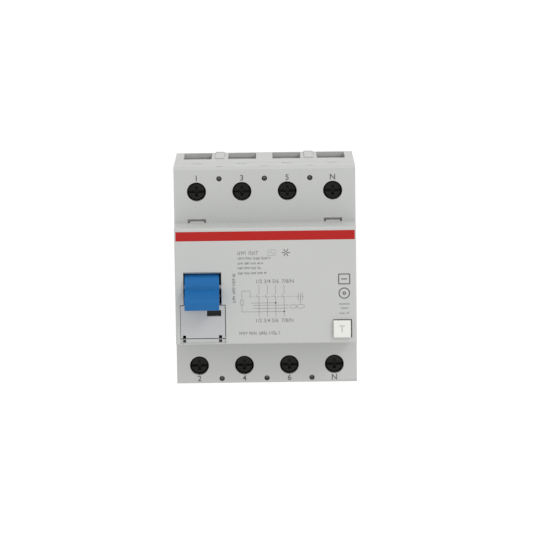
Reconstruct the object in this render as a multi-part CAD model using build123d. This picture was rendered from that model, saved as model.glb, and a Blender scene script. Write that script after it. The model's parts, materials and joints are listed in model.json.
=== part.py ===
from build123d import *
import math
import os

# Four-pole residual current device for a 35 mm rail.
# X runs along the rail, +Y goes into the panel (the front faces -Y), +Z is up.
# The origin is the rail's centre line, on the plane where the case sits on the rail.

# ---- driving sizes, mm ----
pitch = 17.5                # one module of rail width
poles = 4
case_top = 44.15
case_bottom = -40.85
back_y = 5.0                # rearmost face of the case
seam_y = -28.0              # where the front cover meets the case
shoulder_y = -40.0          # face that carries the terminal screws
nose_y = -55.0              # face that stands out through the panel cover
nose_half = 22.5            # half the standard 45 mm nose
nose_inset = 0.3            # the nose is this much narrower than the case, each side
wall = 1.8
side_wall = 1.6
divider = 1.4
edge_chamfer = 1.1
seam_groove = (0.3, 0.25)   # width and depth of the line round the seam
gap = 0.3                   # clearance between pieces that move past each other
run = 0.05                  # radial running clearance of a pin in its hole
seat = 0.02                 # clearance of a piece fixed in its seat

# ---- rail ----
rail_half = 17.5
groove_top = 18.8
groove_bottom = -18.0
hook_reach = 1.6
hook_width = 16.0
hook_y = (1.3, 3.0)
hook_lap = 0.5

# ---- terminals ----
upper_screw_z = 34.5
lower_screw_z = -33.7
port_half = 5.5
port_front = -15.3
port_back = 3.6
back_wall = 1.2
well_r = 3.7
well_wall = 1.2
well_floor = (-35.6, -34.6)
screw_r = 2.4
screw_head_r = 3.45
screw_head = (-38.6, -36.1)
cage_length = 9.0
cage_wall = 1.1
cage_nut = 2.2
cage_floor = 1.4
cage_inner_half = 4.2
cage_open_back = 3.5
bar_sheet = 1.5
tongue_y = (-9.0, -7.5)
tongue_half = 3.6
bar_step = (22.5, 24.0)     # height of the flat run of a terminal bar
rib = 1.0
drive_depth = (1.0, 1.5)    # long slot, and cross
drive_reach = (3.0, 1.9)
drive_half = (0.45, 0.55)
cage_throat = 15.1          # inside depth of a cage

# ---- snap joints of the case and the cover ----
tongue_wide = 5.0
tongue_reach = 3.0
tongue_root = 2.0
tongue_sheet = 1.3
tongue_gap = 0.1            # from the tongue to the cover's wall
catch_y = (2.4, 1.6)        # catch on the tongue, measured forward from the seam
catch_wide = 3.4
catch_reach = 1.4
catch_gap = 0.2

# ---- housing pins ----
pin_z = {"upper": 39.5, "lower": -38.9}
pin_r = 0.75
pin_y = (-38.2, -12.0)
pin_hole_r = 1.05
pin_boss_r = 1.9

# ---- small features of the cover ----
slot_half = 3.5             # hook slots at the root of the nose
slot_wide = 0.8
slot_gap = 0.55
slot_depth = 1.45
notch_half = 1.1            # notches in the top edge over the module joints
notch_size = (0.9, 0.8)

# ---- toggle and its window ----
window_side = (5.25, 9.25)  # left and right edge, from the centre of the first pole
window_z = (-7.1, 5.6)
window_lip = (1.6, 0.75)    # the window's top edge slopes back this far and down this far
toggle_y = -50.5
toggle_z = -0.75
toggle_half = 6.6
toggle_set = 0.15           # the toggle stands this far left of the window's middle
drum_r = 6.0
handle_reach = 13.8
handle_root = 5.6
handle_tip = 4.4
throw = 48.0                # toggle swing from off to on, degrees
toggle_pin_r = 1.25
crank = 4.2
link_side = 6.05            # from the centre of the first pole
link_sheet = 2.0
link_eye_r = 1.5
link_pin_r = 0.9

# ---- label recess, flap and contact indicator ----
recess_side = (6.7, 10.8)   # left and right edge, from the centre of the first pole
recess_bottom = -22.0
recess_floor = -53.2
recess_floor_sheet = 1.6
recess_lap = 0.8            # the recess's floor is carried this far up behind the front wall
sill_top = -20.4
sill_set = 0.5              # the sill stands this far behind the nose's front
sill_hole_half = 0.6
sill_hole_z = (-21.8, -20.6)
hinge_set = (0.1, 0.6)      # from the window's edges to the middles of the sill's holes
hinge_gap_half = 0.6        # notches through the flap's hinge edge, over holes in the recess
hinge_gap_z = (0.7, 0.75)   # below and above the hinge
flap_sheet = 0.9
flap_play = (0.15, 0.3)     # gaps at the flap's left and right edges
flap_pin_r = 0.45
pin_lap = 0.1               # the hinge pin stands this far past the flap's ends
flap_hinge_z = -19.7
flap_top = -7.4
lens_side = (3.6, 9.05)    # right of the centre of the first pole
lens_z = (-11.6, -9.2)
lens_sheet = 0.8

# ---- contacts ----
shaft_y = -24.0
shaft_z = 2.0
shaft_r = 2.5
hub_r = 4.2
hub_half = 3.6
arm_reach = 14.0
arm_width = 4.0
arm_sheet = 1.5
pad_r = 1.8
pad_sheet = 1.0
pad_reach = 12.5
contact_gap = 0.25          # what is left between the pads at the end of the swing

# ---- arc chutes ----
splitters = 4
splitter_y = -33.5          # front face of the first splitter
splitter_pitch = 2.4
splitter_sheet = 0.8
splitter_half = 5.5
chute_z = (18.0, 27.0)
cheek_sheet = 0.6
cheek_lap = 0.4
cheek_y = (-34.2, -24.9)
cheek_foot_y = -25.2
cheek_foot_z = (22.0, 26.0)

# ---- mechanism frame ----
plate_sheet = 0.8
plate_z = (-6.0, 8.0)
plate_y = (-53.0, -20.5)
leg_top = -2.5
trip_y = -40.5
trip_z = -8.2
trip_r = 1.2

# ---- sensing transformer and its conductors ----
ring_y = -15.0
ring_z = (-15.4, -5.0)
ring_r = 10.0
ring_bore = 4.8
ring_wall = 0.8
core_r = (6.1, 8.1)
winding = 0.45
lead_r = 1.4
lead_spacing = 3.2
lead_low = -17.5
lead_bend = 2.2

# ---- trip relay ----
relay_x = (1.0, 17.0)
relay_y = (-52.9, -38.0)
relay_z = (3.0, 18.0)
relay_wall = 0.8
plunger_y = -45.5
coil_r = 3.5

# ---- test circuit ----
button_edge = (0.25, 0.4)   # from the button's hole to the nose's side wall and bottom wall
button_size = 6.7
button_play = (0.1, 0.5, 0.15, 0.3)     # gaps at the left, right, bottom and top
button_lap = (0.5, 0.1, 0.3, 0.5)       # the flange reaches this far past the hole
button_front = -56.3
button_travel = 1.8
blade_y = -43.7
blade_top = -3.0
blade_pivot_z = -4.0

# ---- rail clips ----
clip_half = 1.8
clip_tab = 0.55             # how far the pull tab stands over the case
clip_y = (2.8, 3.8)
clip_ridge_half = 1.0
clip_foot_half = 5.0
clip_foot_z = (16.3, 18.6)
pocket_top = 22.3
clip_rib = (1.7, 0.45)      # half width and height of the rib in front of a pull tab
clip_rib_y = -15.0

width = pitch * poles
half = width / 2
pole_x = [(i + 0.5) * pitch - half for i in range(poles)]
joint_x = [(i + 1) * pitch - half for i in range(poles - 1)]
clip_x = [joint_x[0], joint_x[-1]]
nose_wide = half - nose_inset
inner_half = half - side_wall
window = (pole_x[0] - window_side[0], pole_x[0] + window_side[1])
recess = (pole_x[0] - recess_side[0], pole_x[0] + recess_side[1])
lens_x = (pole_x[0] + lens_side[0], pole_x[0] + lens_side[1])
link_x = pole_x[0] + link_side
hinge_x = (window[0] + hinge_set[0], window[1] - hinge_set[1])
button_x = nose_wide - side_wall - button_edge[0] - button_play[1] - button_size / 2
button_z = -nose_half + side_wall + button_edge[1] + button_play[2] + button_size / 2
axis_x = (1, 0, 0)


def block(x0, x1, y0, y1, z0, z1):
    """A box from its lowest to its highest corner."""
    low_y, high_y = sorted((y0, y1))
    low_z, high_z = sorted((z0, z1))
    corner = Location((x0, low_y, low_z))
    size = (x1 - x0, high_y - low_y, high_z - low_z)
    return corner * Box(*size, align=(Align.MIN, Align.MIN, Align.MIN))


def rod_y(radius, x, z, y0, y1):
    """A round bar along Y."""
    place = Location(((x, (y0 + y1) / 2, z)), (90, 0, 0))
    return place * Cylinder(radius, abs(y1 - y0))


def rod_x(radius, y, z, x0, x1):
    """A round bar along X."""
    place = Location((((x0 + x1) / 2, y, z)), (0, 90, 0))
    return place * Cylinder(radius, abs(x1 - x0))


def rod_z(radius, x, y, z0, z1):
    """A round bar along Z."""
    return Location((x, y, (z0 + z1) / 2)) * Cylinder(radius, abs(z1 - z0))


def turned(shape, y, z, degrees):
    """Turn a shape about the X-wise line through y, z; positive lowers its front."""
    return shape.rotate(Axis((0, y, z), axis_x), degrees)


def write(name, shapes):
    """Write one node; a list of solids becomes a compound."""
    solids = shapes if isinstance(shapes, list) else [shapes]
    parts = []
    for shape in solids:
        parts.extend(shape.solids())
    export_step(Compound(children=parts) if len(parts) > 1 else parts[0], f"parts/{name}.step")


def side(name):
    """Sign, screw height and case face of the upper or lower terminals."""
    if name == "upper":
        return 1, upper_screw_z, case_top
    return -1, lower_screw_z, case_bottom


# ---- housing ----
def case_terminals(name):
    """Material added inside the case for one row of terminals: dividers, ribs and pin bosses."""
    sign, screw_z, face = side(name)
    inner_face = face - sign * wall
    added = []
    for x in joint_x:
        added.append(block(x - divider / 2, x + divider / 2, seam_y, back_y - back_wall,
                           sign * (rail_half + wall), inner_face))
        added.append(rod_y(pin_boss_r, x, pin_z[name], seam_y, pin_y[1] + 1))
    rib_in = cage_inner_half + cage_wall + gap
    for x in pole_x:
        for way in (-1, 1):
            near, far = sorted((x + way * rib_in, x + way * (rib_in + rib)))
            added.append(block(near, far, seam_y + 6, back_y - back_wall,
                               sign * (bar_step[0] - 0.5), screw_z + sign * (cage_length / 2 + 1)))
    return added


def snap_tongue(x, name):
    """A tongue of the case that reaches into the cover and catches in its window."""
    sign, screw_z, face = side(name)
    under = face - sign * (wall + tongue_gap)
    middle = under - sign * tongue_sheet / 2
    reach = tongue_wide / 2
    tongue = block(x - reach, x + reach, seam_y - tongue_reach, seam_y + tongue_root,
                   under, under - sign * tongue_sheet)
    root = block(x - reach, x + reach, seam_y, seam_y + tongue_root, middle, face - sign * wall / 2)
    reach = catch_wide / 2
    catch = block(x - reach, x + reach, seam_y - catch_y[0], seam_y - catch_y[1],
                  middle, under + sign * catch_reach)
    return [tongue, root, catch]


def rail_features():
    """Blocks at the back that guide the rail clips, and what is cut from them."""
    added = []
    cut = []
    for x in clip_x:
        added.append(block(x - 3, x + 3, clip_y[0] - 1.4, back_y, groove_top, case_top))
        added.append(block(x - clip_foot_half - 1.3, x + clip_foot_half + 1.3, 0.1, back_y,
                           groove_top, pocket_top + 1))
        added.append(block(x - clip_rib[0], x + clip_rib[0], clip_rib_y, clip_y[0] - 2 * gap,
                           case_top - wall / 2, case_top + clip_rib[1]))
        wide = clip_half + 0.2
        narrow = clip_ridge_half + 0.2
        cut.append(block(x - wide, x + wide, clip_y[0] - 0.2, clip_y[1] + 0.2, groove_top, case_top))
        cut.append(block(x - narrow, x + narrow, clip_y[1], back_y, groove_top, case_top))
        foot = clip_foot_half + gap
        cut.append(block(x - foot, x + foot, hook_y[0] - 0.2, back_y, groove_top - 1, pocket_top))
    return added, cut


def case_base():
    """The rear half: a tub with the rail groove in its back."""
    body = block(-half, half, seam_y, back_y, case_bottom, case_top)
    body -= block(-inner_half, inner_half, seam_y, -wall, -rail_half - wall, rail_half + wall)
    for name in ("upper", "lower"):
        sign, screw_z, face = side(name)
        body -= block(-inner_half, inner_half, seam_y, back_y - back_wall,
                      sign * (rail_half + wall + 1), face - sign * wall)
        body -= block(-inner_half, inner_half, seam_y, -wall,
                      sign * (rail_half + wall), sign * (rail_half + wall + 1))
    body -= block(-half, half, 0, back_y, groove_bottom, groove_top)
    added, cut = rail_features()
    for name in ("upper", "lower"):
        added += case_terminals(name)
        for x in pole_x:
            added += snap_tongue(x, name)
    for x in clip_x:
        added.append(block(x - hook_width / 2, x + hook_width / 2, hook_y[0], hook_y[1],
                           groove_bottom - hook_lap, groove_bottom + hook_reach))
    added.append(block(-ring_r * 0.6, ring_r * 0.6, ring_y + ring_r * 0.6, -wall + 0.1,
                       ring_z[0], ring_z[1]))
    body = body.fuse(*added)
    cut.append(rod_z(ring_r + gap, 0, ring_y, ring_z[0] - 1, ring_z[1] + 1))
    for name in ("upper", "lower"):
        sign, screw_z, face = side(name)
        for x in pole_x:
            cut.append(block(x - port_half, x + port_half, port_front, port_back,
                             face - sign * (wall + 0.5), face))
        for x in joint_x:
            cut.append(rod_y(pin_r + seat, x, pin_z[name], seam_y, pin_y[1] + 0.2))
    groove, depth = seam_groove
    for z in (case_bottom, case_top):
        cut.append(block(-half, half, seam_y, seam_y + groove, z - depth, z + depth))
    for x in (-half, half):
        cut.append(block(x - depth, x + depth, seam_y, seam_y + groove, case_bottom, case_top))
    body = body.cut(*cut)
    port_edges = []
    for edge in body.edges().filter_by(Axis.X):
        centre = edge.center()
        if abs(centre.Z - case_top) < 0.01 and abs(centre.Y - port_front) < 0.01:
            port_edges.append(edge)
    return chamfer(port_edges, 0.6)


def cover_shell():
    """Outer form of the cover less its inside."""
    lower = block(-half, half, shoulder_y, seam_y, case_bottom, case_top)
    front_edges = lower.edges().filter_by(Axis.X).group_by(Axis.Y)[0]
    lower = chamfer(front_edges, edge_chamfer)
    nose = block(-nose_wide, nose_wide, nose_y, shoulder_y, -nose_half, nose_half)
    nose = fillet(nose.faces().sort_by(Axis.Y)[0].edges(), 0.5)
    shell = lower + nose
    shell -= block(-inner_half, inner_half, shoulder_y + wall, seam_y,
                   case_bottom + wall, case_top - wall)
    shell -= block(-nose_wide + side_wall, nose_wide - side_wall, nose_y + wall,
                   shoulder_y + wall, -nose_half + side_wall, nose_half - side_wall)
    return shell


def well(x, z):
    """Tube that gives a screwdriver its way to the terminal screw."""
    return rod_y(well_r + well_wall, x, z, shoulder_y + wall - 0.1, well_floor[1])


def hook_slots(x):
    """A slot around a small tongue at the root of the nose, and its narrow legs."""
    top = nose_half + slot_gap + slot_wide
    low = shoulder_y + slot_depth
    bar = block(x - slot_half, x + slot_half, shoulder_y, low, top - slot_wide, top)
    left = block(x - slot_half, x - slot_half + slot_wide, shoulder_y, low, nose_half, top)
    right = block(x + slot_half - slot_wide, x + slot_half, shoulder_y, low, nose_half, top)
    return [bar, left, right]


def front_cover():
    """The front half: shoulders with screw wells, and the nose with its windows."""
    shell = cover_shell()
    added = []
    cut = []
    for name in ("upper", "lower"):
        sign, screw_z, face = side(name)
        for x in pole_x:
            added.append(well(x, screw_z))
            cut.append(rod_y(well_r, x, screw_z, shoulder_y, well_floor[0]))
            cut.append(rod_y(screw_r + gap, x, screw_z, well_floor[0], well_floor[1]))
            reach = catch_wide / 2 + catch_gap
            cut.append(block(x - reach, x + reach, seam_y - catch_y[0] - catch_gap,
                             seam_y - catch_y[1] + catch_gap, face - sign * wall, face))
        for x in joint_x:
            added.append(rod_y(pin_boss_r, x, pin_z[name], shoulder_y + 1, seam_y))
            cut.append(rod_y(pin_hole_r, x, pin_z[name], shoulder_y, seam_y))
    for x in joint_x:
        notch_y = shoulder_y + edge_chamfer
        cut.append(block(x - notch_half, x + notch_half, notch_y, notch_y + notch_size[0],
                         case_top - notch_size[1], case_top))
    for x in (pole_x[0], pole_x[-1]):
        cut += hook_slots(x)
    added.append(block(recess[0] - 0.6, recess[1] + 1.6, recess_floor - 0.1, recess_floor + recess_floor_sheet,
                       -nose_half + 1, window_z[0] + recess_lap))
    added += flag_guides()
    cut.append(block(window[0], window[1], nose_y, recess_floor + recess_floor_sheet, window_z[0], window_z[1]))
    cut.append(block(recess[0], recess[1], nose_y, recess_floor, recess_bottom, window_z[0]))
    cut.append(block(lens_x[0], lens_x[1], recess_floor, recess_floor + recess_floor_sheet, lens_z[0], lens_z[1]))
    reach = button_size / 2
    left, right, low, high = button_play
    cut.append(block(button_x - reach - left, button_x + reach + right, nose_y, nose_y + wall,
                     button_z - reach - low, button_z + reach + high))
    shell = shell.fuse(*added).cut(*cut)
    return shell + sill() + lip() - sill_cuts()


def lip():
    """Sloped top edge of the toggle's window."""
    back, drop = window_lip
    top = window_z[1]
    outline = Polyline((nose_y, top), (nose_y + back, top - drop), (nose_y + wall, top - drop),
                       (nose_y + wall, top + 0.2), (nose_y, top + 0.2), close=True)
    profile = Plane.YZ * make_face(outline)
    return Location((window[0], 0, 0)) * extrude(profile, window[1] - window[0])


def flag_guides():
    """Two rails behind the recess that the indicator flag slides between."""
    rails = []
    for x0, x1 in ((lens_x[0] - 1.6, lens_x[0] - 0.9), (lens_x[1] + 0.7, lens_x[1] + 1.3)):
        rails.append(block(x0, x1, recess_floor + 1.5, recess_floor + 3.4, -19.0, window_z[0] - 1))
    return rails


def sill():
    """Bar under the flap that holds its hinge."""
    return block(recess[0], recess[1], nose_y + sill_set, recess_floor, recess_bottom, sill_top)


def sill_cuts():
    """Square holes through the sill, and through the recess's floor behind the flap's notches."""
    holes = []
    back = recess_floor + recess_floor_sheet
    low, high = flap_hinge_z - hinge_gap_z[0] + 0.1, flap_hinge_z + hinge_gap_z[1]
    for x in hinge_x:
        x0, x1 = x - sill_hole_half, x + sill_hole_half
        holes.append(block(x0, x1, nose_y + sill_set, back, *sill_hole_z))
        holes.append(block(x0, x1, recess_floor, back, low, high))
    return Compound(children=holes)


def housing_pins():
    """The pins that hold the cover on the case, one at each module joint, top and bottom."""
    pins = []
    for name in ("upper", "lower"):
        for x in joint_x:
            pins.append(rod_y(pin_r, x, pin_z[name], pin_y[0], pin_y[1]))
    return pins


# ---- terminals ----
def terminal_screw(x, name):
    """Screw with a cross and a slot in its head."""
    sign, z, face = side(name)
    head = rod_y(screw_head_r, x, z, screw_head[0], screw_head[1])
    head = chamfer(head.edges().sort_by(Axis.Y)[0], 0.4)
    shank = rod_y(screw_r, x, z, screw_head[1], tongue_y[0] - gap)
    front = screw_head[0]
    screw = head + shank
    long_half, cross_half = drive_half
    screw -= block(x - drive_reach[0], x + drive_reach[0], front, front + drive_depth[0],
                   z - long_half, z + long_half)
    for wide, tall in ((drive_reach[1], cross_half), (cross_half, drive_reach[1])):
        screw -= block(x - wide, x + wide, front, front + drive_depth[1], z - tall, z + tall)
    return screw


def clamp_cage(x, name):
    """Ring that is drawn forward by the screw and presses the wire on the terminal bar."""
    sign, z, face = side(name)
    inner_front = cage_open_back - cage_floor - cage_throat
    outer = cage_inner_half + cage_wall
    low, high = z - cage_length / 2, z + cage_length / 2
    cage = block(x - outer, x + outer, inner_front - cage_nut, cage_open_back, low, high)
    cage = fillet(cage.edges().filter_by(Axis.Z), 0.8)
    cage -= block(x - cage_inner_half, x + cage_inner_half, inner_front,
                  cage_open_back - cage_floor, low, high)
    cage -= rod_y(screw_r + run, x, z, inner_front - cage_nut, inner_front)
    return cage


def terminal_bar(x, name):
    """Tongue in the cage, and the flat run towards the middle of the device."""
    sign, z, face = side(name)
    tongue = block(x - tongue_half, x + tongue_half, tongue_y[0], tongue_y[1],
                   sign * bar_step[0], z + sign * 3.5)
    flat_half = cage_inner_half + cage_wall
    front = shaft_y + arm_sheet / 2 + 2 * pad_sheet + contact_gap
    run_out = block(x - flat_half, x + flat_half, front, tongue_y[1],
                    sign * bar_step[0], sign * bar_step[1])
    return tongue + run_out, front


def fixed_contact_bar(x):
    """Upper bar with the leg that carries the fixed contact."""
    bar, front = terminal_bar(x, "upper")
    return bar + block(x - 3, x + 3, front, front + bar_sheet, 12.0, bar_step[1])


def fixed_pad(x):
    """Contact pad on the upper bar's leg."""
    bar, front = terminal_bar(x, "upper")
    return rod_y(pad_r, x, shaft_z + pad_reach, front - pad_sheet, front)


def arc_chute(x):
    """Splitter plates held between two fibre cheeks, over the gap of the contacts."""
    low, high = chute_z
    plates = []
    for i in range(splitters):
        y = splitter_y + splitter_pitch * i
        plates.append(block(x - splitter_half, x + splitter_half, y, y + splitter_sheet, low, high))
    outer_side = x > 0
    is_end = abs(x) > half - pitch
    reach_out = (inner_half - abs(x) if is_end else (pitch - divider) / 2) - gap
    reach_in = (pitch - divider) / 2 - gap
    cheeks = []
    for way in (-1, 1):
        reach = reach_out if (way > 0) == outer_side else reach_in
        outer_face = splitter_half + cheek_sheet
        near, far = sorted((x + way * splitter_half, x + way * outer_face))
        cheek = block(near, far, *cheek_y, low - cheek_lap, high + cheek_lap)
        near, far = sorted((x + way * outer_face, x + way * reach))
        cheeks.append(cheek + block(near, far, seam_y + 0.4, cheek_foot_y, *cheek_foot_z))
    return plates, cheeks


# ---- toggle linkage ----
def toggle_lever():
    """Drum with its handle, drawn half way and turned down to the off position."""
    x0 = (window[0] + window[1]) / 2 - toggle_half - toggle_set
    x1 = x0 + 2 * toggle_half
    drum = rod_x(drum_r, toggle_y, toggle_z, x0, x1)
    tip = toggle_y - handle_reach
    root = handle_root / 2
    end = handle_tip / 2
    outline = Polyline((toggle_y, toggle_z - root), (tip, toggle_z - end),
                       (tip, toggle_z + end), (toggle_y, toggle_z + root), close=True)
    profile = Plane.YZ * make_face(outline)
    handle = Location((x0, 0, 0)) * extrude(profile, 2 * toggle_half)
    tip_edges = handle.edges().filter_by(Axis.X).group_by(Axis.Y)[0]
    handle = fillet(tip_edges, 0.9)
    lever = drum + handle
    slot = block(link_x - link_sheet / 2 - gap, link_x + link_sheet / 2 + gap,
                 toggle_y - 2.0, toggle_y + drum_r, toggle_z - drum_r, toggle_z + 0.6)
    slot -= rod_x(toggle_pin_r + 1.0, toggle_y, toggle_z, x0, x1)
    lever -= slot
    lever -= rod_x(toggle_pin_r + run, toggle_y, toggle_z, x0, x1)
    lever -= rod_x(link_pin_r + run, toggle_y, toggle_z - crank, link_x - 4, x1)
    return turned(lever, toggle_y, toggle_z, throw / 2)


def crank_offset():
    """Where a crank's eye lies from its axis at rest."""
    angle = math.radians(throw / 2)
    return crank * math.sin(angle), -crank * math.cos(angle)


def link_rod():
    """Flat link that joins the toggle's crank to the contact shaft's crank."""
    dy, dz = crank_offset()
    front = (toggle_y + dy, toggle_z + dz)
    rear = (shaft_y + dy, shaft_z + dz)
    x0, x1 = link_x - link_sheet / 2, link_x + link_sheet / 2
    length = math.dist(front, rear)
    tilt = math.degrees(math.atan2(rear[1] - front[1], rear[0] - front[0]))
    strip = block(x0, x1, front[0], front[0] + length, front[1] - 1.0, front[1] + 1.0)
    link = turned(strip, front[0], front[1], tilt)
    for y, z in (front, rear):
        link += rod_x(link_eye_r, y, z, x0, x1)
        link += rod_x(link_pin_r, y, z, link_x - 2.3, link_x + 2.6)
    return link


def toggle_pin():
    """Steel pin that the toggle turns on."""
    x0, x1 = plate_spans()[0][0], plate_spans()[1][1]
    return rod_x(toggle_pin_r, toggle_y, toggle_z, x0, x1)


def plate_spans():
    """Left and right faces of the two mechanism plates and of the end bearing plate."""
    left = window[0]
    right = window[1]
    return [(left - plate_sheet, left), (right, right + plate_sheet),
            (inner_half - 2.2, inner_half - 2.2 + plate_sheet)]


def plate(span, front, ear):
    """A mechanism plate: it carries the shaft, and stands on the case's floor by its leg."""
    shape = block(span[0], span[1], front, plate_y[1], plate_z[0], plate_z[1])
    shape += block(span[0], span[1], plate_y[1], -wall - gap, plate_z[0], leg_top)
    shape -= rod_x(shaft_r + run, shaft_y, shaft_z, span[0], span[1])
    if ear:
        shape += block(span[0], span[1], trip_y - 3.5, trip_y + 3.5, trip_z - 2.8, plate_z[0])
        shape -= rod_x(toggle_pin_r + seat, toggle_y, toggle_z, span[0], span[1])
        shape -= rod_x(trip_r + run, trip_y, trip_z, span[0], span[1])
    return shape


# ---- contacts ----
def contact_shaft():
    """Moulded shaft with a hub for each pole and the two cheeks of its crank."""
    spans = plate_spans()
    shaft = rod_x(shaft_r, shaft_y, shaft_z, spans[0][0], spans[2][1])
    for x in pole_x:
        shaft += rod_x(hub_r, shaft_y, shaft_z, x - hub_half, x + hub_half)
    for x in pole_x:
        shaft -= arm_blank(x, seat)
    cheek_gap = link_sheet / 2 + gap
    for x0, x1 in ((link_x - cheek_gap - 1.1, link_x - cheek_gap),
                   (link_x + cheek_gap, link_x + cheek_gap + 1.1)):
        cheek = rod_x(2.1, shaft_y, shaft_z - crank, x0, x1)
        cheek += block(x0, x1, shaft_y - 2.1, shaft_y + 2.1, shaft_z - crank, shaft_z)
        cheek -= rod_x(link_pin_r + gap, shaft_y, shaft_z - crank, x0, x1)
        shaft += turned(cheek, shaft_y, shaft_z, -throw / 2)
    return turned(shaft, shaft_y, shaft_z, throw)


def arm_blank(x, extra):
    """The arm's strip as it stands when the contacts are closed."""
    wide = arm_width / 2 + extra
    thick = arm_sheet / 2 + extra
    return block(x - wide, x + wide, shaft_y - thick, shaft_y + thick,
                 shaft_z + 1.2 - extra, shaft_z + arm_reach)


def moving_arm(x):
    """Copper arm of one pole, in the open position."""
    arm = arm_blank(x, 0)
    return turned(arm, shaft_y, shaft_z, throw)


def moving_pad(x):
    """Contact pad on the rear face of the arm."""
    face = shaft_y + arm_sheet / 2
    pad = rod_y(pad_r, x, shaft_z + pad_reach, face, face + pad_sheet)
    return turned(pad, shaft_y, shaft_z, throw)


def opening_spring():
    """Coil round the contact shaft, between the second and the third pole."""
    coil = Helix(pitch=0.9, height=4.5, radius=shaft_r + 0.55)
    wire = Plane(coil @ 0, z_dir=coil % 0) * Circle(0.3)
    spring = sweep(wire, path=coil, is_frenet=True)
    return Location((-2.2, shaft_y, shaft_z), (0, 90, 0)) * spring


# ---- flap and contact indicator ----
def label_flap():
    """Hinged flap over the label recess, with an opening over the indicator."""
    front = nose_y + 0.1
    x0, x1 = recess[0] + flap_play[0], recess[1] - flap_play[1]
    flap = block(x0, x1, front, front + flap_sheet, flap_hinge_z - 0.35, flap_top)
    flap -= block(lens_x[0], lens_x[1], front, front + flap_sheet, lens_z[0], lens_z[1])
    middle = front + flap_sheet / 2
    flap += rod_x(flap_pin_r, middle, flap_hinge_z, x0 - pin_lap, x1 + pin_lap)
    for x in hinge_x:
        flap -= block(x - hinge_gap_half, x + hinge_gap_half, front - gap, front + flap_sheet + gap,
                      flap_hinge_z - hinge_gap_z[0], flap_hinge_z + hinge_gap_z[1])
    return flap


def indicator_lens():
    """Smoked window of the contact indicator."""
    return block(lens_x[0] + seat, lens_x[1] - seat, recess_floor + 0.1,
                 recess_floor + 0.1 + lens_sheet, lens_z[0] + seat, lens_z[1] - seat)


def indicator_flag():
    """Plate that rises behind the lens when the contacts close."""
    y = recess_floor + recess_floor_sheet + gap
    x0, x1 = lens_x[0] - 0.5, lens_x[1] + 0.4
    top = lens_z[0] - 0.2
    return block(x0, x1, y, y + 0.6, top - 3.5, top)


def indicator_backing():
    """Green plate that shows in the lens while the contacts are open."""
    y = recess_floor + recess_floor_sheet + 2 * gap + 0.6
    x0, x1 = lens_x[0] - 1.6, lens_x[1] + 1.3
    return block(x0, x1, y + 1.0, y + 1.4, lens_z[0] - 1.5, lens_z[1] + 0.5)


# ---- sensing transformer ----
def ring(outer, inner, z0, z1):
    """A plain ring round the transformer's axis."""
    return rod_z(outer, 0, ring_y, z0, z1) - rod_z(inner, 0, ring_y, z0, z1)


def transformer():
    """Cup, lid, strip-wound core and secondary winding."""
    z0, z1 = ring_z
    cup = ring(ring_r, ring_bore, z0, z1 - ring_wall)
    cup -= ring(ring_r - ring_wall, ring_bore + ring_wall, z0 + ring_wall, z1)
    lid = ring(ring_r, ring_bore, z1 - ring_wall, z1)
    core_z = (z0 + ring_wall + winding + 0.3, z1 - ring_wall - winding - 0.3)
    core = ring(core_r[1], core_r[0], *core_z)
    wound = ring(core_r[1] + winding, core_r[0] - winding, core_z[0] - winding, core_z[1] + winding)
    wound -= ring(core_r[1] + seat, core_r[0] - seat, core_z[0] - seat, core_z[1] + seat)
    return cup, lid, core, wound


def primary_lead(index):
    """Wire from one pole's arm, through the ring and down to its lower bar."""
    x = pole_x[index]
    outer_pole = index in (0, poles - 1)
    row = -lead_spacing / 2 if outer_pole else lead_spacing / 2
    y = ring_y + row
    bore_x = math.copysign(lead_spacing / 2, x)
    top = 0.0 if outer_pole else lead_spacing
    end_y = shaft_y + hub_r + 0.4
    points = [(x, y, -bar_step[0]), (x, y, lead_low), (bore_x, y, lead_low),
              (bore_x, y, top), (x, y, top), (x, end_y, top)]
    forward = y - end_y
    radii = [lead_bend, lead_bend, lead_bend, min(lead_bend, forward * 0.7)]
    path = FilletPolyline(*points, radius=radii)
    start = Plane(origin=points[0], z_dir=(0, 0, 1)) * Circle(lead_r)
    return sweep(start, path=path)


# ---- trip relay ----
def relay():
    """Case, lid, yoke, coil, magnet and the plunger that trips the mechanism."""
    x0, x1 = relay_x
    y0, y1 = relay_y
    z0, z1 = relay_z
    w = relay_wall
    case = block(x0, x1, y0, y1, z0, z1 - w)
    case -= block(x0 + w, x1 - w, y0 + w, y1 - w, z0 + w, z1)
    middle = (x0 + x1) / 2
    case -= rod_z(1.5, middle, plunger_y, z0, z0 + w)
    lid = block(x0, x1, y0, y1, z1 - w, z1)
    yoke = block(x0 + w + 0.1, x1 - w - 0.1, plunger_y - 2.5, plunger_y + 2.5, z1 - w - 1.9, z1 - w - 0.1)
    for x in (x0 + w + 0.1, x1 - w - 1.7):
        yoke += block(x, x + 1.6, plunger_y - 2.5, plunger_y + 2.5, z0 + w + 4, z1 - w - 1.9)
    coil = rod_z(coil_r, middle, plunger_y, z0 + w + 4.4, z1 - w - 2.1)
    coil -= rod_z(1.6, middle, plunger_y, z0 + w + 4.4, z1 - w - 2.1)
    magnet = block(x0 + w + 0.3, x1 - w - 0.3, y1 - w - 3.0, y1 - w - 0.2, z0 + w + 4, z1 - w - 2.2)
    plunger = rod_z(1.3, middle, plunger_y, trip_z + trip_r + gap + 0.1, z0 + w + 4)
    plunger += rod_z(3.2, middle, plunger_y, z0 + w + 2.2, z0 + w + 3.6)
    return case, lid, yoke, coil, magnet, plunger


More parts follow.
